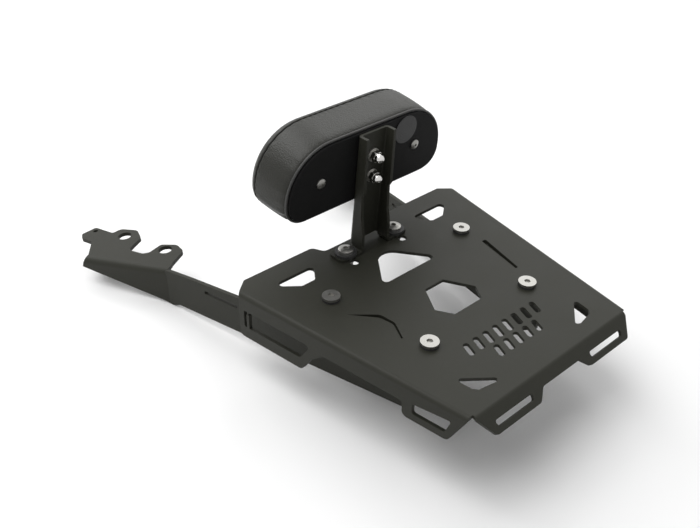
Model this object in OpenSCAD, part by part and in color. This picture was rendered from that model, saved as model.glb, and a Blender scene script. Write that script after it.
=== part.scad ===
/* [Rack plate] */
// Thickness of the rack plate's sheet
sheet = 3; // [2:0.5:4]
// Half of the plate's width at its middle
plate_half = 120.5; // [115:0.5:130]
// Angle by which each side of the plate opens towards the front
side_angle = 9.37; // [6:0.1:10]
// Distance from the plate's middle to its front edge
plate_front = 122.5; // [120:0.5:130]
// Distance from the plate's middle to its rear bend
plate_rear = 123.8; // [120:0.5:130]
// Depth of the side flanges at the front
flange_deep = 46; // [44:0.5:52]
// Depth of the strap loops on the sides
loop_deep = 33; // [31:0.5:38]
// Length of the rear flange's strap loops
rear_loop = 20.5; // [19:0.5:26]
// Angle of the rear flange below the deck
rear_angle = 45; // [30:1:60]

/* [Arms] */
// Thickness of the arms' sheet
arm_sheet = 4; // [3:0.5:5]
// Half of the distance between the arms' outer faces at the plate's middle
arm_half = 87.4; // [86:0.2:90]
// Angle by which each arm opens towards the front
arm_angle = 12.13; // [11:0.1:13]
// Distance from the plate's middle to the bend where an arm opens further
arm_bend_y = 236.5; // [230:0.5:245]
// Angle of an arm's front end
ear_angle = 28; // [25:0.5:32]
// Radius of the holes that fasten an arm to the frame
ear_hole_r = 7; // [5:0.25:8]
// Length of an arm's front end
ear_len = 95; // [90:1:100]

/* [Backrest post] */
// Outside width of the post's channel
post_w = 35; // [32:0.5:40]
// Height of the post above the deck
post_h = 118; // [114:1:130]
// Angle by which the post leans to the rear
post_lean = 4.3; // [2:0.1:6]
// Distance from the top of the post down to the upper pad stud
stud_drop = 22.5; // [18:0.5:30]
// Distance between the two pad studs
stud_gap = 21; // [18:0.5:24]

/* [Pad] */
// Half of the width of the pad's back board
board_half = 90; // [86:0.5:96]
// Thickness of the back board
board_t = 4; // [3:0.5:6]
// Depth of the cushion in front of its back board
cushion_t = 50; // [40:1:60]
// Radius of the piping round the back of the cushion
piping_r = 1.6; // [1:0.1:2]

/* [Fasteners] */
// Radius of the bolts' shanks
bolt_r = 4; // [3:0.5:4]
// Space between a bolt's shank and its hole
bolt_gap = 0.5; // [0.2:0.1:0.8]
// Radius of the arm bolts' heads
arm_head_r = 8; // [7:0.5:9]
// Radius of the post bolts' heads
post_head_r = 7.2; // [6.5:0.1:8]
// Radius of the pad studs
stud_r = 3; // [2.5:0.25:3]

/* [Hidden] */
$fn = 48;
// The origin is on the deck's top face, midway between the two spare holes
spare_y = 80;
ref_y = spare_y;
bend_in = 1.5;
// How far two parts of one sheet run into each other
seam = 2;
bend_out = bend_in + sheet;
arm_bend_in = 2;
arm_bend_out = arm_bend_in + arm_sheet;
hole_r = bolt_r + bolt_gap;
// Half of the plate's width at a distance from its middle
function side_x(y) = plate_half + y * tan(side_angle);
function arm_x(y) = arm_half + y * tan(arm_angle);
// The flat deck ends where the side bends begin
deck_inset = bend_out / cos(side_angle);
side_front = plate_front - 10.5;
side_rear = 2.8 - plate_rear;
step_y = plate_front - 12;
// Bolts on the deck, as the arms carry them
arm_bolt_inset = 15.5;
arm_bolt_y = [51.7, -45.4];
arm_bolts_at = [for (y = arm_bolt_y, s = [-1, 1]) [s * (arm_x(y) - arm_bolt_inset), y]];
post_bolt_x = 30.5;
post_bolt_y = 92;
post_bolts_at = [for (s = [-1, 1]) [s * post_bolt_x, post_bolt_y]];
spacer_t = 2;
arm_head_t = 2.3;
washer_t = 1.6;
nut_t = 6.5;
nut_r = 7.5;
foot_t = sheet;
post_face_y = 103;
post_foot_y = [84, 103.4];
// The feet are folded behind the round corners of the channel
foot_fold_y = 97.5;
post_foot_half = 42;
post_washer_r = 10.2;
post_washer_t = 2.5;
post_head_t = 4.2;
stud_high = post_h - stud_drop;
stud_low = stud_high - stud_gap;
stud_heights = [stud_low, stud_high];
pad_low = stud_low - 21.5;
pad_top = stud_low + 44.5;
pad_low_r = 18;
pad_top_r = 45;
cushion_over = 3;
screw_x = 56.5;
screw_v = stud_low + 10.3;
badge_at = [42.5, stud_low + 30.5];
badge_r = 13.5;
ear_slope = 6.2;
// The ear is drawn for this length along its fold, and stretches with ear_len
ear_drawn = 95;
function ear_y(y) = y * ear_len / ear_drawn;
ear_holes = [[ear_y(21.2), 34.6], [ear_y(79.3), 49.1]];
tongue_hole = [ear_y(117.5), 50.9];
tongue_hole_r = 2.5;

// Points of a round corner between three corners of an outline
function unit(v) = v / norm(v);
function corner(a, b, c, r, n) =
    let (u = unit(a - b), v = unit(c - b), half = acos(u * v) / 2,
         d = r / tan(half), m = b + unit(u + v) * r / sin(half),
         p = b + u * d - m, turn = cross(b - a, c - b) > 0 ? 1 : -1,
         sweep = turn * (180 - 2 * half))
    r == 0 ? [b] : [for (i = [0 : n]) let (t = sweep * i / n)
        m + [p[0] * cos(t) - p[1] * sin(t), p[0] * sin(t) + p[1] * cos(t)]];
// Each point is [x, y, corner radius]
function outline(pts, n = 5) =
    let (k = len(pts), q = [for (p = pts) [p[0], p[1]]])
    [for (i = [0 : k - 1]) each corner(q[(i + k - 1) % k], q[i], q[(i + 1) % k], pts[i][2], n)];
function flip(pts) = [for (i = [len(pts) - 1 : -1 : 0]) [-pts[i][0], pts[i][1], pts[i][2]]];

module at_ref() translate([0, -ref_y, 0]) children();
module both_sides() { children(); mirror([1, 0, 0]) children(); }

// Points of an arc about a centre
function arc(c, r, from, to, n = 8) = [for (i = [0 : n]) let (t = from + (to - from) * i / n) c + r * [cos(t), sin(t)]];
// An angle section along +Y with its outer corner on the axis: one leg lies towards -X, the other hangs down
module angle_section(len, top_leg, side_leg, t, r_in) {
    r_out = r_in + t;
    c = [-r_out, -r_out];
    rotate([90, 0, 180]) mirror([1, 0, 0]) linear_extrude(len) polygon(concat(
        [[-top_leg, 0]], arc(c, r_out, 90, 0), [[0, -side_leg], [-t, -side_leg]],
        arc(c, r_in, 0, 90), [[-top_leg, -t]]));
}
// A flat shape in Y and Z pushed along X between two distances
module side_cut(x0, x1, pts) translate([x0, 0, 0]) rotate([90, 0, 90]) linear_extrude(x1 - x0) polygon(pts);

// Rack plate: outlines seen from above. Each half is one angle section, and they meet on the centre line
rear_flat = plate_rear - bend_out * tan(rear_angle / 2) - 1;
deck_outline = outline([[0, -rear_flat, 0], [95.5, -rear_flat, 0], [96.3, side_rear, 0],
    [side_x(side_rear) + 5, side_rear, 0], [side_x(side_front) + 5, side_front - 6, 0],
    [124, plate_front, 3], [46, plate_front, 6], [40, step_y, 6], [0, step_y, 0]]);
corner_hole = outline([[112, 100, 4], [62, 100, 4], [75, 82.5, 4], [90, 82.5, 4]]);
triangle_hole = outline([[-34.9, 37.5, 4], [0, 83.7, 14.7], [34.9, 37.5, 4]], 7);
hexagon_hole = outline([[-11.5, 8.5, 2], [11.5, 8.5, 2], [26, -17, 2], [17, -32, 2], [-17, -32, 2], [-26, -17, 2]]);
rear_hole = outline([[77, -85, 2.5], [50, -106.5, 1.5], [54, -109, 1.5], [71, -106, 2.5], [74.5, -102, 2]]);
left_slit = outline([[-87.5, 27.5, 0], [-65.5, 9, 8], [-63.5, -7, 8], [-72.5, -25.5, 0], [-74, -25, 0],
    [-66, -7, 8], [-69.5, 7, 8], [-83.5, 23, 0]]);
right_slit = outline([[89.5, 26.5, 1.5], [84.5, 26.5, 1.5], [74.5, -23, 1], [77.5, -23, 1]]);
// Two rows of plain slanted slots
slot_rows = [[8, 12, -77, -63], [5, 12, -93, -80]];
slot_w = 6;
slot_slant = 5;

module deck_cuts() {
    both_sides() { polygon(corner_hole); polygon(rear_hole); }
    polygon(triangle_hole);
    polygon(hexagon_hole);
    polygon(left_slit);
    polygon(right_slit);
    for (r = slot_rows, i = [0 : r[0] - 1]) let (x = (i - (r[0] - 1) / 2) * r[1])
        polygon(outline([[x - slot_w / 2 - slot_slant / 2, r[2], 2], [x + slot_w / 2 - slot_slant / 2, r[2], 2],
            [x + slot_w / 2 + slot_slant / 2, r[3], 2], [x - slot_w / 2 + slot_slant / 2, r[3], 2]], 3));
}
// The side flange, in Y and Z, with its window, tongue and strap slot
under_bend = -bend_out + 1;
side_outline = outline([[plate_front + 5, 1, 0], [plate_front + 5, under_bend, 0], [side_front, under_bend, 0],
    [side_front, -flange_deep, 6], [39, -flange_deep, 6], [29, -30, 6], [15.5, -18.5, 6], [-63.5, -18.5, 3],
    [-64, -loop_deep, 5], [-106, -loop_deep, 6], [side_rear + 1, under_bend - 2, 0],
    [side_rear + 1, under_bend, 0], [side_rear - 5, under_bend, 0], [side_rear - 5, 1, 0]]);
window_outline = outline([[29, -16, 3], [105, -16, 2], [105, -34, 1.5], [102.2, -34, 0], [102.2, -19, 1],
    [99.2, -19, 1], [99.2, -34, 0], [41, -34, 5]]);
strap_outline = outline([[-108, -12, 1.5], [-73, -16, 1.5], [-73, -26, 2.5], [-103, -26, 2.5]]);
module half_plate() intersection() {
    translate([plate_half, 0, 0]) rotate(-side_angle) translate([0, -150, 0])
        angle_section(300, 160, flange_deep + 4, sheet, bend_in);
    difference() {
        side_cut(-1, 170, side_outline);
        side_cut(80, 160, window_outline);
        side_cut(80, 160, strap_outline);
    }
    translate([0, 0, -60]) linear_extrude(65) polygon(deck_outline);
}
// The rear flange, in X and down its slope, with its two strap loops
rear_half = [[97, -6, 0], [97, 0, 0], [84.5, rear_loop, 4], [32.5, rear_loop, 4], [23.5, 11, 4]];
rear_outline = outline(concat(rear_half, flip(rear_half)));
rear_slot = outline([[36, 10.3, 2], [82, 10.3, 2], [79, 15.5, 2], [38, 15.5, 2]]);
rear_start = bend_out * tan(rear_angle / 2);
// Seen from the side, with the bend's outer corner at the middle
module rear_section() {
    c = [rear_start, -bend_out];
    down = [-cos(rear_angle), -sin(rear_angle)] * (rear_loop - rear_start);
    outer = arc(c, bend_out, 90, 90 + rear_angle);
    inner = arc(c, bend_in, 90 + rear_angle, 90);
    polygon(concat([[rear_start + seam, 0]], outer, [outer[8] + down, inner[0] + down], inner, [[rear_start + seam, -sheet]]));
}
module rear_flange() translate([0, -plate_rear, 0]) intersection() {
    translate([-95, 0, 0]) rotate([90, 0, 90]) linear_extrude(190) rear_section();
    rotate([180 + rear_angle, 0, 0]) translate([0, 0, -5]) linear_extrude(15) difference() {
        polygon(rear_outline);
        both_sides() polygon(rear_slot);
    }
}
module rack_plate() color("dimgray") at_ref() {
    difference() {
        union() {
            both_sides() half_plate();
            rear_flange();
        }
        translate([0, 0, -sheet - 1]) linear_extrude(sheet + 2) deck_cuts();
        for (p = concat(arm_bolts_at, post_bolts_at)) translate([p[0], p[1], -sheet - 1]) cylinder(r = hole_r, h = sheet + 2);
        for (s = [-1, 1]) translate([s * post_bolt_x, spare_y, -sheet - 1]) cylinder(r = hole_r, h = sheet + 2);
    }
}

// Arms: a sheet with a top flange under the deck, and a flared front end with a flat ear
arm_rear = -56;
arm_low = 64.6;
arm_top_outline = [[arm_rear, -sheet], [70, -sheet], [118, -33], [141, -35], [204, -41.5], [arm_bend_y - 2, -45.3],
    [arm_bend_y + 1.9, -47], [arm_bend_y + 1.9, -86], [232, -86], [222, -81.5], [-38, -arm_low], [-50, -54.4], [arm_rear, -50]];
arm_slit = outline([[144.4, -44.8, 0.8], [185.6, -46.6, 0.8], [185.6, -50, 0.8], [144.4, -48.2, 0.8]]);
flange_w = 30;
flange_front = 68;
module arm_body() intersection() {
    translate([arm_half, 0, -sheet]) rotate(-arm_angle) translate([0, -80, 0])
        angle_section(400, flange_w, 100, arm_sheet, arm_bend_in);
    difference() {
        side_cut(0, 200, arm_top_outline);
        side_cut(0, 200, arm_slit);
    }
    translate([0, 0, -100]) linear_extrude(100) polygon([
        [arm_x(arm_rear) + 1, arm_rear], [arm_x(300) + 1, 300], [arm_x(300) - 12, 300],
        [arm_x(flange_front + 14) - 7, flange_front + 14], [arm_x(flange_front) - flange_w - 1, flange_front],
        [arm_x(arm_rear) - flange_w - 1, arm_rear]]);
}
// In the ear's own frame: X outwards, Y along the fold, Z square to the ear
ear_points = [[2, -9, 0], [-8, -9, 0], [-12, 0.7, 3], [-37.4, 1.5, 7], [-46, 14, 8], [-42.5, 31, 5], [-26, 35, 4],
    [-22.5, 41, 4], [-25.5, 60, 6], [-50, 60, 6], [-62.5, 72, 8], [-61, 92, 7], [-51.5, 96, 3], [-57.5, 121.5, 3],
    [-42, 129, 3], [-34.5, 123.5, 3], [-31, 109, 4], [-8, 97.2, 0], [-8, 112, 0], [2, 112, 0]];
ear_outline = outline([for (p = ear_points) [p[0], ear_y(p[1]), p[2]]]);
// Seen square to the flared web: its lower edge rises towards the front
ear_side = [[-0.3, 4], [ear_len + 55, 4], [ear_len + 55, -30], [ear_len + 9, -30], [ear_len + 8, -20.3], [6, -38.5], [-0.3, -40.3]];
// The flared web's front edge runs forwards as it goes down
web_front = [[ear_len - 3, 4], [ear_len + 17.2, -60], [ear_len + 60, -60], [ear_len + 60, 4]];
module ear() translate([arm_x(arm_bend_y), arm_bend_y, -45.5]) rotate(-ear_angle) intersection() {
    rotate([-ear_slope, 0, 0]) difference() {
        intersection() {
            translate([0, -10, 0]) angle_section(ear_len + 55, 90, 70, arm_sheet, arm_bend_in);
            translate([0, 0, -80]) linear_extrude(81) polygon(ear_outline);
        }
        for (p = ear_holes) translate([-p[1], p[0], -10]) cylinder(r = ear_hole_r, h = 20);
        translate([-tongue_hole[1], tongue_hole[0], -10]) cylinder(r = tongue_hole_r, h = 20);
    }
    difference() {
        side_cut(-100, 10, ear_side);
        side_cut(-9, 12, web_front);
    }
}
module arm() difference() {
    union() { arm_body(); ear(); }
    for (p = arm_bolts_at) translate([p[0], p[1], -20]) cylinder(r = hole_r, h = 30);
}
module arm_left() color("dimgray") at_ref() mirror([1, 0, 0]) arm();
module arm_right() color("dimgray") at_ref() arm();

// Fasteners
module ring(r, hole, h) difference() { cylinder(r = r, h = h); translate([0, 0, -1]) cylinder(r = hole, h = h + 2); }
module hex_nut(r, hole, h) difference() {
    intersection() { cylinder(r = r, h = h, $fn = 6); cylinder(r1 = r * 0.94, r2 = r * 1.06, h = h); cylinder(r1 = r * 1.06, r2 = r * 0.94, h = h); }
    translate([0, 0, -1]) cylinder(r = hole, h = h + 2);
}
// A low head with a rounded rim and a hexagon socket, seated at z = 0
module round_head(r, h, socket) difference() {
    rotate_extrude() intersection() {
        translate([0, h - 4 * h]) circle(4 * h);
        square([r, h]);
    }
    translate([0, 0, h * 0.35]) cylinder(r = socket, h = h, $fn = 6);
}
arm_bolt_top = spacer_t;
arm_nut_z = -sheet - arm_sheet - washer_t;
module arm_bolts() color("silver") at_ref() for (p = arm_bolts_at) translate([p[0], p[1], 0]) {
    translate([0, 0, arm_bolt_top]) difference() {
        cylinder(r = arm_head_r, h = arm_head_t);
        translate([0, 0, arm_head_t - 1.6]) cylinder(r = 2.9, h = 3, $fn = 6);
    }
    translate([0, 0, arm_nut_z - nut_t - 2]) cylinder(r = bolt_r, h = arm_bolt_top - arm_nut_z + nut_t + 2);
}
module arm_bolt_spacers() color("black") at_ref() for (p = arm_bolts_at) translate([p[0], p[1], 0])
    ring(arm_head_r, hole_r, spacer_t);
module arm_nut_washers() color("silver") at_ref() for (p = arm_bolts_at) translate([p[0], p[1], arm_nut_z])
    ring(arm_head_r, hole_r, washer_t);
module arm_nuts() color("silver") at_ref() for (p = arm_bolts_at) translate([p[0], p[1], arm_nut_z - nut_t])
    hex_nut(nut_r, bolt_r + 0.05, nut_t);

// Backrest post: a channel open to the rear, on two splayed feet
wall_low = bend_out + 1;
// How far the folds of the feet stand outside the walls above them
fold_step = 0.05;
post_side = [[post_foot_y[1] + 6, wall_low], [post_foot_y[1] + 6, post_h], [82, post_h], [84, 64], [86.6, 60],
    [86.6, 37], [post_foot_y[0] + fold_step, 20], [post_foot_y[0] + 10 * fold_step, wall_low]];
module channel() intersection() {
    translate([0, post_face_y, 0]) rotate([post_lean, 0, 0]) translate([0, 0, -5]) linear_extrude(post_h + 20)
        difference() {
            channel_plan(post_w / 2, bend_out, 0);
            channel_plan(post_w / 2 - sheet, bend_in, sheet);
        }
    side_cut(-post_w, post_w, post_side);
}
// Seen along the post: round front corners, open at the rear
module channel_plan(half, r, back) {
    c = [half - r, -back - r];
    polygon(concat([[-half, -60], [half, -60]], arc(c, r, 0, 90), arc([-c[0], c[1]], r, 90, 180)));
}
// A foot: turned outwards under a bend, with round corners
foot_leg_x = post_w / 2 - sheet + fold_step;
foot_outline = outline([[foot_leg_x - 1, post_foot_y[0], 0], [post_foot_half, post_foot_y[0], 5],
    [post_foot_half, post_foot_y[1], 5], [post_w / 2 + 6, post_foot_y[1], 3],
    [post_w / 2 + 4, foot_fold_y, 1], [foot_leg_x - 1, foot_fold_y, 0]]);
module foot() intersection() {
    translate([foot_leg_x, post_foot_y[0] - 1, 0]) mirror([0, 0, 1]) mirror([1, 0, 0])
        angle_section(post_foot_y[1] - post_foot_y[0] + 2, post_foot_half - foot_leg_x + 1,
            wall_low + seam, foot_t, bend_in);
    linear_extrude(20) polygon(foot_outline);
}
module backrest_post() color("dimgray") at_ref() difference() {
    union() { channel(); both_sides() foot(); }
    for (p = post_bolts_at) translate([p[0], p[1], -1]) cylinder(r = hole_r, h = foot_t + 2);
    on_post() for (v = stud_heights) translate([0, 10, v]) rotate([90, 0, 0]) cylinder(r = stud_r + bolt_gap, h = 20);
}
// The post's front face: Y forwards, Z up along the post
module on_post() translate([0, post_face_y, 0]) rotate([post_lean, 0, 0]) children();

post_nut_z = -sheet - washer_t;
module post_bolts() color("silver") at_ref() for (p = post_bolts_at) translate([p[0], p[1], 0]) {
    translate([0, 0, foot_t + post_washer_t]) round_head(post_head_r, post_head_t, 2.5);
    translate([0, 0, post_nut_z - nut_t - 2]) cylinder(r = bolt_r, h = foot_t + post_washer_t - post_nut_z + nut_t + 2.5);
}
module post_bolt_washers() color("black") at_ref() for (p = post_bolts_at) translate([p[0], p[1], foot_t])
    ring(post_washer_r, hole_r, post_washer_t);
module post_nut_washers() color("silver") at_ref() for (p = post_bolts_at) translate([p[0], p[1], post_nut_z])
    ring(arm_head_r, hole_r, washer_t);
module post_nuts() color("silver") at_ref() for (p = post_bolts_at) translate([p[0], p[1], post_nut_z - nut_t])
    hex_nut(nut_r, bolt_r + 0.05, nut_t);

// Pad: seen from the front, a low D
function pad_outline(grow) =
    let (half = board_half + grow, low = pad_low - grow, top = pad_top + grow, r = pad_low_r + grow, q = pad_top_r + grow)
    outline([[half, low, r], [half, top, q], [-half, top, q], [-half, low, r]], 12);
module pad_slab(y0, y1, grow) translate([0, y1, 0]) rotate([90, 0, 0]) linear_extrude(y1 - y0)
    polygon(pad_outline(grow));
module pad_back_board() color("black") at_ref() difference() {
    on_post() pad_slab(0, board_t, 0);
    on_post() for (v = stud_heights) translate([0, 10, v]) rotate([90, 0, 0]) cylinder(r = stud_r + 0.05, h = 20);
    on_post() for (s = [-1, 1]) translate([s * screw_x, 10, screw_v]) rotate([90, 0, 0]) cylinder(r = 2.05, h = 20);
}
cushion_round = 12;
// The cushion grows a little towards the passenger
front_over = cushion_over + 1.5;
insert_t = 1.5;
screw_len = 14;
cushion_body = cushion_t - cushion_round;
module pad_cushion() color("black") at_ref() on_post() {
    difference() {
        pad_slab(board_t, board_t + cushion_body, cushion_over);
        for (v = stud_heights) translate([0, board_t - 1, v]) rotate([-90, 0, 0]) cylinder(r = 9, h = insert_t + 2);
        for (s = [-1, 1]) translate([s * screw_x, board_t - 1, screw_v]) rotate([-90, 0, 0])
            cylinder(r = 2.5, h = screw_len);
    }
    hull() {
        pad_slab(board_t + cushion_body, board_t + cushion_body + 0.5, front_over);
        pad_slab(board_t + cushion_t - 4.5, board_t + cushion_t - 4, front_over - 3.5);
        pad_slab(board_t + cushion_t - 0.5, board_t + cushion_t, front_over - cushion_round);
    }
    hull() {
        pad_slab(board_t + 20, board_t + 20.5, cushion_over);
        pad_slab(board_t + cushion_body, board_t + cushion_body + 0.5, front_over);
    }
}
module pad_piping() color("gray") at_ref() on_post() difference() {
    pad_slab(board_t - 2 * piping_r, board_t, cushion_over);
    pad_slab(board_t - 2 * piping_r - 1, board_t + 1, 0.05);
}
module on_board() on_post() rotate([90, 0, 0]) children();
module pad_screws() color("silver") at_ref() on_board() for (s = [-1, 1]) translate([s * screw_x, screw_v, 0]) {
    round_head(4.7, 2.4, 1.5);
    translate([0, 0, 2 - screw_len]) cylinder(r = 2, h = screw_len - 1.5);
}
module pad_badge() color("lightgray") at_ref() on_board() translate([badge_at[0], badge_at[1], 0])
    cylinder(r = badge_r, h = 0.8);
stud_back = sheet + washer_t + 9;
module pad_studs() color("silver") at_ref() on_board() for (v = stud_heights) translate([0, v, -board_t - insert_t])
    cylinder(r = stud_r, h = board_t + insert_t + stud_back - 2);
module pad_washers() color("silver") at_ref() on_board() for (v = stud_heights) translate([0, v, sheet])
    ring(6.5, stud_r + 0.3, washer_t);
module pad_inserts() color("silver") at_ref() on_board() for (v = stud_heights) translate([0, v, -board_t - insert_t])
    ring(8.5, stud_r + 0.05, insert_t);
module pad_dome_nuts() color("silver") at_ref() on_board() for (v = stud_heights) translate([0, v, sheet + washer_t])
    difference() {
        union() {
            hex_nut(5.7, stud_r + 0.05, 5.5);
            translate([0, 0, 5]) rotate_extrude() intersection() { scale([4.8, 7]) circle(1); square(8); }
        }
        translate([0, 0, -1]) cylinder(r = stud_r + 0.05, h = 8.6);
    }

rack_plate();
arm_left();
arm_right();
arm_bolts();
arm_bolt_spacers();
arm_nuts();
arm_nut_washers();
backrest_post();
post_bolts();
post_bolt_washers();
post_nuts();
post_nut_washers();
pad_back_board();
pad_cushion();
pad_piping();
pad_screws();
pad_badge();
pad_studs();
pad_washers();
pad_dome_nuts();
pad_inserts();
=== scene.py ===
"""A motorcycle luggage rack of bent black sheet, on two arms, with a padded backrest on a channel post."""

import bpy
import numpy as np
from mathutils import Matrix, Vector


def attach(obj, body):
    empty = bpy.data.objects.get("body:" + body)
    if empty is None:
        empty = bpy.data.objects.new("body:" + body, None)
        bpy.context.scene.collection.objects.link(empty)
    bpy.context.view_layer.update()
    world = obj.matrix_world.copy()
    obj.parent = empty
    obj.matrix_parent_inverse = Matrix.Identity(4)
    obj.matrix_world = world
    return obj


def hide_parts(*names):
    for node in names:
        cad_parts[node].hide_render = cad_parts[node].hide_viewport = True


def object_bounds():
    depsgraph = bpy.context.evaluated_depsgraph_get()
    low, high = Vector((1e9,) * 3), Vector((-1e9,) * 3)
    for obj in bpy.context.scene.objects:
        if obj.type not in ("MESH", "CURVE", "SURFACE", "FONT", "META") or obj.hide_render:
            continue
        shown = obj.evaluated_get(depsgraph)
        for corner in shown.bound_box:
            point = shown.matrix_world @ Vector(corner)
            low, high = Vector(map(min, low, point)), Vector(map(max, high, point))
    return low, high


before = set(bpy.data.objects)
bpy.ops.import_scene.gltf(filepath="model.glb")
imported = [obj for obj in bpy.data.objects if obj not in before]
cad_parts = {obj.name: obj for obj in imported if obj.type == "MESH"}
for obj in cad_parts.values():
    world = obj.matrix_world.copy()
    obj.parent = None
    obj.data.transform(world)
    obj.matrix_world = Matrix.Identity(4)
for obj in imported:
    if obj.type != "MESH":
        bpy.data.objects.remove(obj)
cad_box = [list(corner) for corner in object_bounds()]

# Camera: the rack seen from its left rear and from above, as a product picture shows it.
# The angles, the distance and the focal length were solved from the edges of the picture.
FOCAL_PX = 860.0
PICTURE_PX = 700.0
SENSOR_MM = 36.0
AZIMUTH, ELEVATION, ROLL = np.radians([42.55, 35.42, -1.21])
DISTANCE = 0.78357
LOOKED_AT = Vector((-0.03589, 0.0, 0.0))

level = np.cos(ELEVATION)
back = Vector((-np.sin(AZIMUTH) * level, -np.cos(AZIMUTH) * level, np.sin(ELEVATION)))
level_right = (-back).cross(Vector((0, 0, 1))).normalized()
level_down = (-back).cross(level_right)
right = np.cos(ROLL) * level_right + np.sin(ROLL) * level_down
down = np.cos(ROLL) * level_down - np.sin(ROLL) * level_right
camera = bpy.data.objects.new("camera", bpy.data.cameras.new("camera"))
bpy.context.scene.collection.objects.link(camera)
camera.data.lens = FOCAL_PX / PICTURE_PX * SENSOR_MM
camera.data.sensor_width = SENSOR_MM
camera.data.clip_start = 0.01
turned = Matrix((right, -down, back)).transposed().to_4x4()
camera.matrix_world = Matrix.Translation(LOOKED_AT + DISTANCE * back) @ turned
bpy.context.scene.camera = camera


# Shader expressions: sums and products of sockets, written as Python.
# Every other node is made by one method, from its type, its settings and its inputs.
class Wire:
    """A socket of a material's node tree. Operators on it add Math nodes."""

    def __init__(self, tree, socket=None):
        self.tree, self.socket = tree, socket

    def node(self, kind, settings=(), inputs=(), out=0):
        """A node of that type: settings are set first, then each input's value or link."""
        made = self.tree.nodes.new(kind)
        for name, value in dict(settings).items():
            if name == "stops":
                ramp = made.color_ramp
                while len(ramp.elements) < len(value):
                    ramp.elements.new(1.0)
                for element, (place, tone) in zip(ramp.elements, value):
                    element.position, element.color = place, (*tone, 1.0)
            else:
                setattr(made, name, value)
        for name, value in dict(inputs).items():
            if isinstance(value, Wire):
                self.tree.links.new(value.socket, made.inputs[name])
            else:
                made.inputs[name].default_value = value
        return Wire(self.tree, made.outputs[out])

    def sum_of(self, operation, *terms):
        return self.node("ShaderNodeMath", {"operation": operation}, dict(enumerate(terms)))

    def __add__(self, other):
        return self.sum_of("ADD", self, other)

    def __mul__(self, other):
        return self.sum_of("MULTIPLY", self, other)

    __radd__, __rmul__ = __add__, __mul__


def start_material(name):
    """(material, its tree as a Wire, Object coordinates, its Principled shader node)."""
    material = bpy.data.materials.new(name)
    material.use_nodes = True
    tree = Wire(material.node_tree)
    place = tree.node("ShaderNodeTexCoord", out="Object")
    shader = material.node_tree.nodes["Principled BSDF"]
    return material, tree, place, shader


def feed(tree, shader, **inputs):
    """Sets or links the shader's inputs; an underscore in a name stands for a space."""
    for name, value in inputs.items():
        socket = shader.inputs[name.replace("_", " ")]
        if isinstance(value, Wire):
            tree.tree.links.new(value.socket, socket)
        else:
            socket.default_value = value


def noise(tree, place, scale, detail=2.0, roughness=0.5):
    """Soft noise at that many cells to the metre."""
    return tree.node("ShaderNodeTexNoise", {},
                     {"Vector": place, "Scale": scale, "Detail": detail, "Roughness": roughness})


def cells_of(tree, place, scale, feature):
    """A pattern of small cells at that many to the metre."""
    return tree.node("ShaderNodeTexVoronoi", {"feature": feature}, {"Vector": place, "Scale": scale})


def tint(tree, amount, dark, light):
    """A colour between dark and light; dark may itself be a wire."""
    start = dark if isinstance(dark, Wire) else (*dark, 1)
    ends = {0: amount, 6: start, 7: (*light, 1)}
    return tree.node("ShaderNodeMix", {"data_type": "RGBA"}, ends, out=2)


def bump(tree, height, depth, normal=None):
    """A bumped normal, depth being the height's size in metres."""
    inputs = {"Height": height, "Distance": depth, "Strength": 1.0}
    if normal is not None:
        inputs["Normal"] = normal
    return tree.node("ShaderNodeBump", {}, inputs)


def dress(material, *nodes):
    """Gives CAD nodes that material."""
    for name in nodes:
        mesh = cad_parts[name].data
        mesh.materials.clear()
        mesh.materials.append(material)


# Rack plate, arms and post: laser-cut sheet steel, bent and powder-coated in a fine matt black.
# The coat has a faint grain, soft patches where it was rubbed, and edges that catch the light.
COAT_DARK = (0.0168, 0.0170, 0.0125)
COAT_LIGHT = (0.0272, 0.0274, 0.0205)
COAT_GRAIN = 2200.0
COAT_PATCH = 28.0
COAT_RUB = 190.0
GRAIN_DEPTH = 0.00006
EDGE_ROUND = 0.0007
COAT_SPECULAR = 0.2


def powder_coat():
    material, tree, place, shader = start_material("powder_coat")
    grain = noise(tree, place, COAT_GRAIN, 3.0, 0.6)
    patches = noise(tree, place, COAT_PATCH, 4.0, 0.6)
    rubbed = noise(tree, place, COAT_RUB, 3.0, 0.7)
    edges = tree.node("ShaderNodeBevel", {"samples": 4}, {"Radius": EDGE_ROUND})
    shader.inputs["Specular IOR Level"].default_value = COAT_SPECULAR
    feed(tree, shader,
         Base_Color=tint(tree, patches * 0.6 + rubbed * 0.4, COAT_DARK, COAT_LIGHT),
         Roughness=0.40 + patches * 0.14 + grain * 0.08,
         Normal=bump(tree, grain + rubbed * 0.6, GRAIN_DEPTH, edges))
    return material


coat = powder_coat()
dress(coat, "rack_plate", "arm_left", "arm_right", "backrest_post")


# Bolts, nuts, studs and pan screws: stainless steel, turned or pressed, with fine marks across.
# The dome nuts on the pad's studs are polished brighter than the rest.
def stainless(name, tone, roughness, marks):
    material, tree, place, shader = start_material(name)
    drawn = tree.node("ShaderNodeMapping", {}, {"Vector": place, "Scale": (1, 1, 6)})
    turned_marks = noise(tree, drawn, marks, 4.0, 0.7)
    smudges = noise(tree, place, 320.0, 3.0, 0.6)
    dark = tuple(0.72 * channel for channel in tone)
    feed(tree, shader, Metallic=1.0,
         Base_Color=tint(tree, smudges * 0.7 + turned_marks * 0.3, dark, tone),
         Roughness=roughness + smudges * 0.14,
         Normal=bump(tree, turned_marks, 0.00002))
    return material


bolt_steel = stainless("bolt_steel", (0.36, 0.355, 0.335), 0.30, 2600.0)
polished = stainless("polished_steel", (0.74, 0.73, 0.71), 0.08, 1400.0)
dress(bolt_steel, "arm_bolts", "arm_nuts", "arm_nut_washers", "post_bolts", "post_nuts",
      "post_nut_washers", "pad_screws", "pad_studs", "pad_washers", "pad_inserts")
dress(polished, "pad_dome_nuts")


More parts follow.
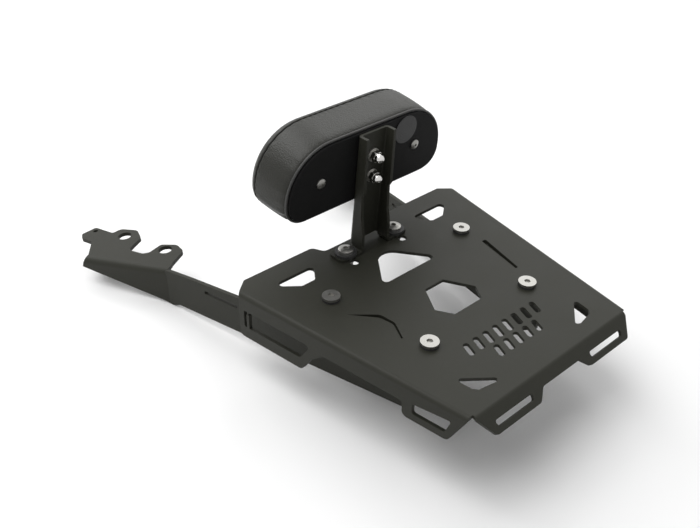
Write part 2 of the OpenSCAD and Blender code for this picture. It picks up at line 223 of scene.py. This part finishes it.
# Spacers under the arm bolts and broad washers under the post bolts: black nylon, slightly scuffed.
def black_nylon():
    material, tree, place, shader = start_material("black_nylon")
    scuffs = noise(tree, place, 500.0, 4.0, 0.7)
    feed(tree, shader, Base_Color=tint(tree, scuffs, (0.010, 0.010, 0.010), (0.028, 0.028, 0.028)),
         Roughness=0.42 + scuffs * 0.2, Normal=bump(tree, scuffs, 0.00003))
    return material


dress(black_nylon(), "arm_bolt_spacers", "post_bolt_washers")


# Back board of the pad: pressed board behind a thin black cloth, trimmed flat at the edge.
# The cloth's weave shows close up.
BOARD_DARK = (0.005, 0.005, 0.005)
BOARD_LIGHT = (0.012, 0.012, 0.012)
BOARD_SPECULAR = 0.1
WEAVE = 1100.0


def board_cloth():
    material, tree, place, shader = start_material("board_cloth")
    shader.inputs["Specular IOR Level"].default_value = BOARD_SPECULAR
    weave = cells_of(tree, place, WEAVE, "SMOOTH_F1")
    patches = noise(tree, place, 60.0, 3.0, 0.6)
    feed(tree, shader, Base_Color=tint(tree, patches * 0.5 + weave * 0.5, BOARD_DARK, BOARD_LIGHT),
         Roughness=0.55 + weave * 0.2, Normal=bump(tree, weave, 0.00008))
    return material


dress(board_cloth(), "pad_back_board")


# Badge on the back board: a plain round plastic disc with fine turned rings and no mark.
# It is glued on the cloth, so its place is given up the leaning post.
BADGE_AT = Vector((0.0425, 0.105))
BADGE_DARK = (0.013, 0.013, 0.013)
BADGE_LIGHT = (0.019, 0.019, 0.019)
BADGE_SPECULAR = 0.3
RING_RATE = 2800.0
LEAN = np.radians(4.3)
POST_FACE = 0.023


def on_post(x, forward, up):
    """Points given across, forward of and up along the leaning post, in the row frame."""
    y = POST_FACE + forward * np.cos(LEAN) - up * np.sin(LEAN)
    z = forward * np.sin(LEAN) + up * np.cos(LEAN)
    return np.stack(np.broadcast_arrays(x, y, z), axis=-1)


def badge_plastic():
    material, tree, place, shader = start_material("badge_plastic")
    shader.inputs["Specular IOR Level"].default_value = BADGE_SPECULAR
    centre = on_post(BADGE_AT.x, 0.0, BADGE_AT.y)
    from_centre = tree.node("ShaderNodeVectorMath", {"operation": "DISTANCE"},
                            {0: place, 1: tuple(float(v) for v in centre)}, out="Value")
    rings = tree.node("ShaderNodeMath", {"operation": "SINE"}, {0: from_centre * RING_RATE})
    feed(tree, shader, Base_Color=tint(tree, rings * 0.5 + 0.5, BADGE_DARK, BADGE_LIGHT),
         Roughness=0.36 + rings * 0.03, Normal=bump(tree, rings, 0.00002))
    return material


dress(badge_plastic(), "pad_badge")


# Cushion: foam under black artificial leather, pulled over the back board.
# A front panel and a side strip meet in a sewn seam just behind the rounded front edge.
BOARD_T = 0.004
CUSHION_T = 0.050
COVER_OVER = 0.003
FRONT_OVER = 0.0015
FRONT_ROUND = 0.012
SIDE_SWELL = 0.0012
FRONT_CROWN = 0.003
SEAM_AT = 0.0385
SEAM_HALF = 0.0007
SEAM_DEPTH = 0.0016
TUCK_IN = 0.0024
TUCK_FADE = 0.0026
PLEAT_LEAST = 0.00003
PLEAT_MOST = 0.0009
PLEAT_FADE = 0.010
GATHER = 0.00022
GATHER_HALF = 0.004
DIMPLE = 0.0001
AROUND = 440
PAD_HALF = [(0.090, 0.053, 0.018), (0.090, 0.119, 0.045)]
PAD_CORNERS = PAD_HALF + [(-x, y, radius) for x, y, radius in PAD_HALF[::-1]]


def rounded_outline(corners, count):
    """Evenly spaced points along a closed outline of straight lines and tangent corner arcs."""
    points = []
    at = np.array([corner[:2] for corner in corners])
    for i, (x, y, radius) in enumerate(corners):
        here = at[i]
        before = at[i - 1] - here
        after = at[(i + 1) % len(at)] - here
        before, after = before / np.linalg.norm(before), after / np.linalg.norm(after)
        half = np.arccos(before @ after) / 2
        middle = here + (before + after) / np.linalg.norm(before + after) * radius / np.sin(half)
        start = here + before * radius / np.tan(half) - middle
        sweep = -np.sign(before[0] * after[1] - before[1] * after[0]) * (np.pi - 2 * half)
        across = np.array([-start[1], start[0]])
        turn = np.linspace(0, sweep, 16)[:, None]
        points.append(middle + start * np.cos(turn) + across * np.sin(turn))
    path = np.concatenate(points)
    path = np.concatenate([path, path[:1]])
    along = np.concatenate([[0], np.cumsum(np.linalg.norm(np.diff(path, axis=0), axis=1))])
    even = np.linspace(0, along[-1], count, endpoint=False)
    return np.stack([np.interp(even, along, path[:, axis]) for axis in (0, 1)], axis=-1)


def outward(path):
    """Unit normals that point out of a closed path that runs anticlockwise."""
    step = np.roll(path, -1, axis=0) - np.roll(path, 1, axis=0)
    normal = np.stack([step[:, 1], -step[:, 0]], axis=-1)
    return normal / np.linalg.norm(normal, axis=1, keepdims=True)


def smoothed(path, passes):
    """The path with its normals' sharp turns eased, by averaging neighbours."""
    for _ in range(passes):
        path = 0.5 * path + 0.25 * (np.roll(path, 1, axis=0) + np.roll(path, -1, axis=0))
    return path


def grid_mesh(name, points, wrap_rows=False, wrap_columns=True, cap_first=None, cap_last=None):
    """A mesh from a grid of points, rows by columns; a cap is a point that closes an end row."""
    rows, columns = points.shape[:2]
    index = np.arange(rows * columns).reshape(rows, columns)
    if wrap_rows:
        index = np.concatenate([index, index[:1]])
    if wrap_columns:
        index = np.concatenate([index, index[:, :1]], axis=1)
    faces = np.stack([index[:-1, :-1], index[:-1, 1:], index[1:, 1:], index[1:, :-1]], axis=-1)
    faces = faces.reshape(-1, 4).tolist()
    vertices = points.reshape(-1, 3)
    for cap, row, flip in ((cap_first, index[0], True), (cap_last, index[-1], False)):
        if cap is not None:
            centre = len(vertices)
            vertices = np.concatenate([vertices, np.asarray(cap, float).reshape(1, 3)])
            a, b = (row[1:], row[:-1]) if flip else (row[:-1], row[1:])
            faces += np.stack([a, b, np.full(len(a), centre)], axis=-1).tolist()
    mesh = bpy.data.meshes.new(name)
    mesh.from_pydata(vertices.tolist(), [], faces)
    mesh.polygons.foreach_set("use_smooth", np.ones(len(mesh.polygons), bool))
    piece = bpy.data.objects.new(name, mesh)
    bpy.context.scene.collection.objects.link(piece)
    return piece


def bell(distance, half):
    """1 at no distance, falling off as a bell that is 1/e at half."""
    return np.exp(-(distance / half) ** 2)


def cushion_shape():
    """Rings of the outline: up the side strip, round the front edge, then over the crowned front.

    Each ring is the outline moved along its normals, by the cover's thickness, the strip's taper and
    swell, less the seam, the tuck at the board and the rounded edge. Over the front, they shrink to
    the middle.
    """
    outline = smoothed(rounded_outline(PAD_CORNERS, AROUND), 30)
    normal = outward(outline)
    middle = np.array([0.0, 0.086])
    angle = np.linspace(0, 2 * np.pi, AROUND, endpoint=False)
    side = np.linspace(0, CUSHION_T - FRONT_ROUND, 76)
    turn = np.radians(np.linspace(0, 90, 60))[1:]
    depth = np.concatenate([side, side[-1] + FRONT_ROUND * np.sin(turn)])
    inward = np.concatenate([0 * side, FRONT_ROUND * (1 - np.cos(turn))])
    swell = SIDE_SWELL * np.sin(np.pi * np.clip(depth / CUSHION_T, 0, 1)) ** 0.8
    seam = SEAM_DEPTH * bell(depth - SEAM_AT, SEAM_HALF)
    tucked = TUCK_IN * np.exp(-depth / TUCK_FADE)
    grow = COVER_OVER + FRONT_OVER * depth / CUSHION_T + swell - seam - tucked - inward
    bend = np.linalg.norm(np.roll(normal, -4, axis=0) - np.roll(normal, 4, axis=0), axis=1)
    pleats = PLEAT_LEAST + PLEAT_MOST * (bend / bend.max()) ** 2
    pull = pleats * np.sin(46 * angle + 2 * np.sin(3 * angle)) * np.exp(-depth[:, None] / PLEAT_FADE)
    near_seam = bell(depth[:, None] - SEAM_AT, GATHER_HALF)
    gather = GATHER * np.sin(61 * angle + 3 * np.sin(5 * angle)) * near_seam
    rings = outline + normal * (grow[:, None] + pull + gather)[..., None]
    front = depth[:, None] + 0 * rings[..., 0]
    shrink = np.linspace(1, 0, 46)[1:-1] ** 0.9
    inner = middle + (rings[-1] - middle) * shrink[:, None, None]
    rise = FRONT_CROWN * (1 - shrink[:, None] ** 2)
    dimple = DIMPLE * np.sin(3 * angle + 1.3) * np.sin(np.pi * shrink[:, None]) ** 2
    rings = np.concatenate([rings, inner])
    front = np.concatenate([front, CUSHION_T + rise + dimple])
    groove = bell(depth - SEAM_AT, SEAM_HALF)[:, None] * np.ones(AROUND)
    return rings, front, middle, groove


rings, front, middle, groove = cushion_shape()
surface = on_post(rings[..., 0], BOARD_T + front, rings[..., 1])
cushion = grid_mesh("cushion", surface,
                    cap_first=on_post(middle[0], BOARD_T, middle[1]),
                    cap_last=on_post(middle[0], BOARD_T + CUSHION_T + FRONT_CROWN, middle[1]))


# How deep each vertex lies in the seam, from 0 to 1, for the shade painted into the stitched groove.
PAINTED_SEAM_SHADE = (0.001, 0.001, 0.001)
LEATHER_SPECULAR = 0.35

in_seam = np.zeros(len(cushion.data.vertices))
in_seam[:groove.size] = groove.ravel()
cushion.data.attributes.new("in_seam", "FLOAT", "POINT").data.foreach_set("value", in_seam)


def leather(name, dark, light):
    """Artificial leather: a pebbled grain of small cells, faint creases, an even gloss, and painted shade
    along the seam's groove.
    """
    material, tree, place, shader = start_material(name)
    shader.inputs["Specular IOR Level"].default_value = LEATHER_SPECULAR
    cells = cells_of(tree, place, 780.0, "F1")
    creases = cells_of(tree, place, 360.0, "DISTANCE_TO_EDGE")
    patches = noise(tree, place, 45.0, 3.0, 0.6)
    grain = noise(tree, place, 1500.0, 3.0, 0.6)
    seam = tree.node("ShaderNodeAttribute", {"attribute_name": "in_seam"}, out="Fac")
    hide = tint(tree, patches * 0.6 + cells * 0.5, dark, light)
    # The seam's groove is painted darker, as the shade that falls in it.
    feed(tree, shader, Base_Color=tint(tree, seam, hide, PAINTED_SEAM_SHADE),
         Roughness=0.32 + cells * 0.12 + patches * 0.08 + seam * 0.5,
         Normal=bump(tree, cells * -1.0 + creases * 0.8 + grain * 0.4, 0.00016))
    return material


cover = leather("artificial_leather", (0.0056, 0.0058, 0.0034), (0.0130, 0.0132, 0.0090))
cushion.data.materials.append(cover)
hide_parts("pad_cushion")
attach(cushion, "root")


# Piping: a thin welt of leather over a cord, painted a little paler than the cover as a highlight along
# it.
# It is sewn in where the cover meets the back board.
PIPING_R = 0.0012


def tube(name, path, side, up, radius, sides=10):
    """A round tube along a closed path; side and up are unit vectors across it at each point."""
    turn = np.linspace(0, 2 * np.pi, sides, endpoint=False)
    ring = side[:, None] * np.cos(turn)[None, :, None] + up[:, None] * np.sin(turn)[None, :, None]
    return grid_mesh(name, path[:, None] + radius * ring, wrap_rows=True)


def pad_path(grow, count, passes=20):
    """(the pad's outline moved outwards by grow, its normals)."""
    outline = smoothed(rounded_outline(PAD_CORNERS, count), passes)
    return outline + outward(outline) * grow, outward(outline)


edge, edge_out = pad_path(COVER_OVER - PIPING_R, AROUND)
foot = on_post(0.0, 0.0, 0.0)
piping = tube("piping", on_post(edge[:, 0], BOARD_T - PIPING_R, edge[:, 1]),
              on_post(edge_out[:, 0], 0.0, edge_out[:, 1]) - foot,
              np.broadcast_to(on_post(0.0, 1.0, 0.0) - foot, (AROUND, 3)), PIPING_R)
# The welt's paler leather colour is a painted highlight along the cord.
piping.data.materials.append(leather("welt_leather", (0.020, 0.020, 0.019), (0.050, 0.050, 0.048)))
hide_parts("pad_piping")
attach(piping, "root")


# Seam stitches: black thread in one row of short even stitches, behind the cover's seam.
# Each lies partly sunk in the leather.
STITCH_COUNT = 118
STITCH_LENGTH = 0.0034
STITCH_R = 0.00042
STITCH_ROW = 0.0026
STITCH_SUNK = 0.0006


def stitches(name, depth, grow):
    """Each stitch is a short tube with pinched ends, laid along the outline at that depth."""
    path, out = pad_path(grow, STITCH_COUNT)
    along = np.roll(path, -1, axis=0) - np.roll(path, 1, axis=0)
    along /= np.linalg.norm(along, axis=1, keepdims=True)
    stations = np.linspace(-0.5, 0.5, 5)
    girth = np.sqrt(np.clip(1 - (2 * stations) ** 4, 0.02, 1))
    turn = np.linspace(0, 2 * np.pi, 6, endpoint=False)
    centre = path[:, None] + along[:, None] * (stations * STITCH_LENGTH)[None, :, None]
    lift = STITCH_R * girth[None, :, None] * np.cos(turn)
    rise = STITCH_R * girth[None, :, None] * np.sin(turn)
    flat = centre[:, :, None] + out[:, None, None] * lift[..., None]
    points = on_post(flat[..., 0], depth + rise + 0 * lift, flat[..., 1])
    index = np.arange(points[..., 0].size).reshape(points.shape[:3])
    ring = np.concatenate([index, index[:, :, :1]], axis=2)
    faces = np.stack([ring[:, :-1, :-1], ring[:, :-1, 1:], ring[:, 1:, 1:], ring[:, 1:, :-1]], axis=-1)
    faces = faces.reshape(-1, 4).tolist()
    ends = np.concatenate([index[:, 0, ::-1], index[:, -1]]).tolist()
    mesh = bpy.data.meshes.new(name)
    mesh.from_pydata(points.reshape(-1, 3).tolist(), [], faces + ends)
    piece = bpy.data.objects.new(name, mesh)
    bpy.context.scene.collection.objects.link(piece)
    return piece


def thread():
    material, tree, place, shader = start_material("thread")
    strands = noise(tree, place, 3000.0, 2.0, 0.5)
    feed(tree, shader, Base_Color=tint(tree, strands, (0.030, 0.030, 0.030), (0.070, 0.070, 0.068)),
         Roughness=0.6, Normal=bump(tree, strands, 0.00004))
    return material


row_at = SEAM_AT - STITCH_ROW
skin_at = COVER_OVER + FRONT_OVER * row_at / CUSHION_T + SIDE_SWELL
seam_thread = stitches("seam_stitches", BOARD_T + row_at, skin_at - STITCH_SUNK)
seam_thread.data.materials.append(thread())
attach(seam_thread, "root")


# Floor and light: a pale table under broad soft lamps, one above and behind, one at each side.
# The background and what the metal reflects of it are white; the floor keeps the shadow.
FLOOR_DROP = 0.0005
FLOOR_SIZE = 12.0
LAMPS = [((-0.7, 0.2, 1.7), 1.4, 20.0), ((1.2, 0.6, 1.3), 1.3, 10.0), ((-0.2, 1.6, 1.5), 1.4, 18.0)]
LIT_POINT = Vector((0, 0.05, 0))
SKY_FILL = 0.40
SKY_SEEN = 0.60

floor = bpy.data.objects.new("floor", bpy.data.meshes.new("floor"))
low = cad_box[0][2] - FLOOR_DROP
corners = [(x * FLOOR_SIZE, y * FLOOR_SIZE, low) for x, y in ((-1, -1), (1, -1), (1, 1), (-1, 1))]
floor.data.from_pydata(corners, [], [(0, 1, 2, 3)])
bpy.context.scene.collection.objects.link(floor)
paper, tree, _, shader = start_material("paper")
feed(tree, shader, Base_Color=(0.93, 0.93, 0.93, 1), Roughness=0.9)
floor.data.materials.append(paper)

for number, (at, size, power) in enumerate(LAMPS):
    lamp = bpy.data.objects.new(f"lamp_{number}", bpy.data.lights.new(f"lamp_{number}", "AREA"))
    lamp.data.size, lamp.data.energy = size, power
    lamp.location = at
    lamp.rotation_euler = (Vector(at) - LIT_POINT).to_track_quat("Z", "Y").to_euler()
    bpy.context.scene.collection.objects.link(lamp)

world = bpy.data.worlds.new("studio")
bpy.context.scene.world = world
world.use_nodes = True
sky = Wire(world.node_tree)
straight, mirrored = (sky.node("ShaderNodeLightPath", out=f"Is {ray} Ray") for ray in ("Camera", "Glossy"))
strength = SKY_FILL + sky.sum_of("MINIMUM", straight + mirrored, 1.0) * SKY_SEEN
feed(sky, world.node_tree.nodes["Background"], Strength=strength, Color=(1, 1, 1, 1))

bpy.context.scene.view_settings.view_transform = "Standard"
